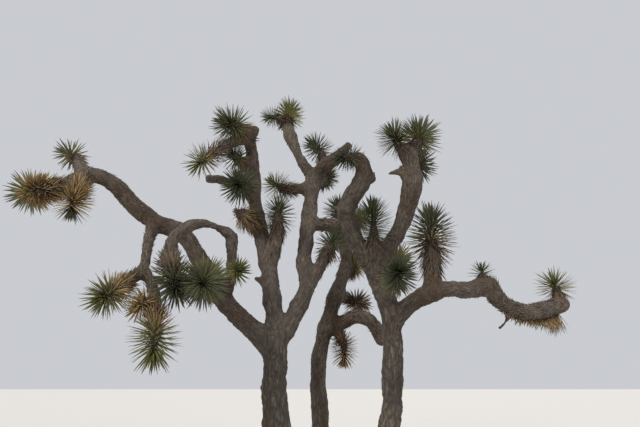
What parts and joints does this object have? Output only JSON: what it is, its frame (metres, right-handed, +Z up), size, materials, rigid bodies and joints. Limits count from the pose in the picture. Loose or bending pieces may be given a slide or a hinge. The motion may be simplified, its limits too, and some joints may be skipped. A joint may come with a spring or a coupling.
{
  "type": "joshua tree",
  "caption": "Rooted desert tree: a clump of stems with crooked forking limbs, heads of dagger leaves at the limb tips and shaggy dry leaves below them.",
  "frame": {"origin": "middle of the flat cut under the main (left) stem, at ground level, which is the mount ground", "axes": "+Z up, +X to the right of the picture's view, +Y away from its viewer"},
  "size_m": [7.9464, 3.7649, 6.5667],
  "materials": {
    "bark": "grey-brown furrowed bark in small plates, rough",
    "shaggy_bark": "limb bark under a thatch of grey-brown to tan dead leaves that point back down the limb",
    "green_leaves": "stiff grey-green dagger leaves, waxy, paler at the edges",
    "dry_leaves": "dry golden tan leaves, matt and fibrous"
  },
  "bodies": {
    "root": {"left_stem": "bark", "right_stem": "bark", "back_stem": "bark", "left_bough": "shaggy_bark", "left_diagonal": "shaggy_bark", "far_left_bough": "shaggy_bark", "hanging_left_bough": "shaggy_bark", "upright_left_bough": "shaggy_bark", "arch_bough": "shaggy_bark", "centre_bough": "shaggy_bark", "centre_tall_bough": "shaggy_bark", "dead_stub": "shaggy_bark", "right_centre_bough": "shaggy_bark", "knot_bough": "shaggy_bark", "left_mast_bough": "shaggy_bark", "blunt_bough": "shaggy_bark", "right_inner_bough": "shaggy_bark", "right_inner_tip_bough": "shaggy_bark", "right_outer_bough": "shaggy_bark", "right_bough": "shaggy_bark", "right_hook_bough": "shaggy_bark", "back_arch_bough": "shaggy_bark", "far_left_head": "green_leaves", "far_left_drop_head": "green_leaves", "far_left_top_head": "green_leaves", "low_left_head": "green_leaves", "low_drop_head": "green_leaves", "front_head": "green_leaves", "arch_head": "green_leaves", "upright_side_head": "green_leaves", "rear_left_head": "green_leaves", "top_left_head": "green_leaves", "top_left_low_head": "green_leaves", "tall_left_head": "green_leaves", "tall_front_head": "green_leaves", "centre_head": "green_leaves", "centre_side_head": "green_leaves", "mast_head": "green_leaves", "mast_side_head": "green_leaves", "knot_top_head": "green_leaves", "knot_side_head": "green_leaves", "rear_centre_head": "green_leaves", "slit_head": "green_leaves", "inner_tip_head": "green_leaves", "fork_head": "green_leaves", "trunk_side_head": "green_leaves", "rear_right_head": "green_leaves", "outer_left_head": "green_leaves", "outer_right_head": "green_leaves", "outer_back_head": "green_leaves", "tall_right_head": "green_leaves", "bend_head": "green_leaves", "hook_head": "green_leaves", "back_top_head": "green_leaves", "back_right_head": "green_leaves", "low_brown_head": "dry_leaves", "brown_head": "dry_leaves", "back_low_head": "dry_leaves", "back_drop_head": "dry_leaves", "hook_fringe": "dry_leaves"}
  },
  "joints": []
}
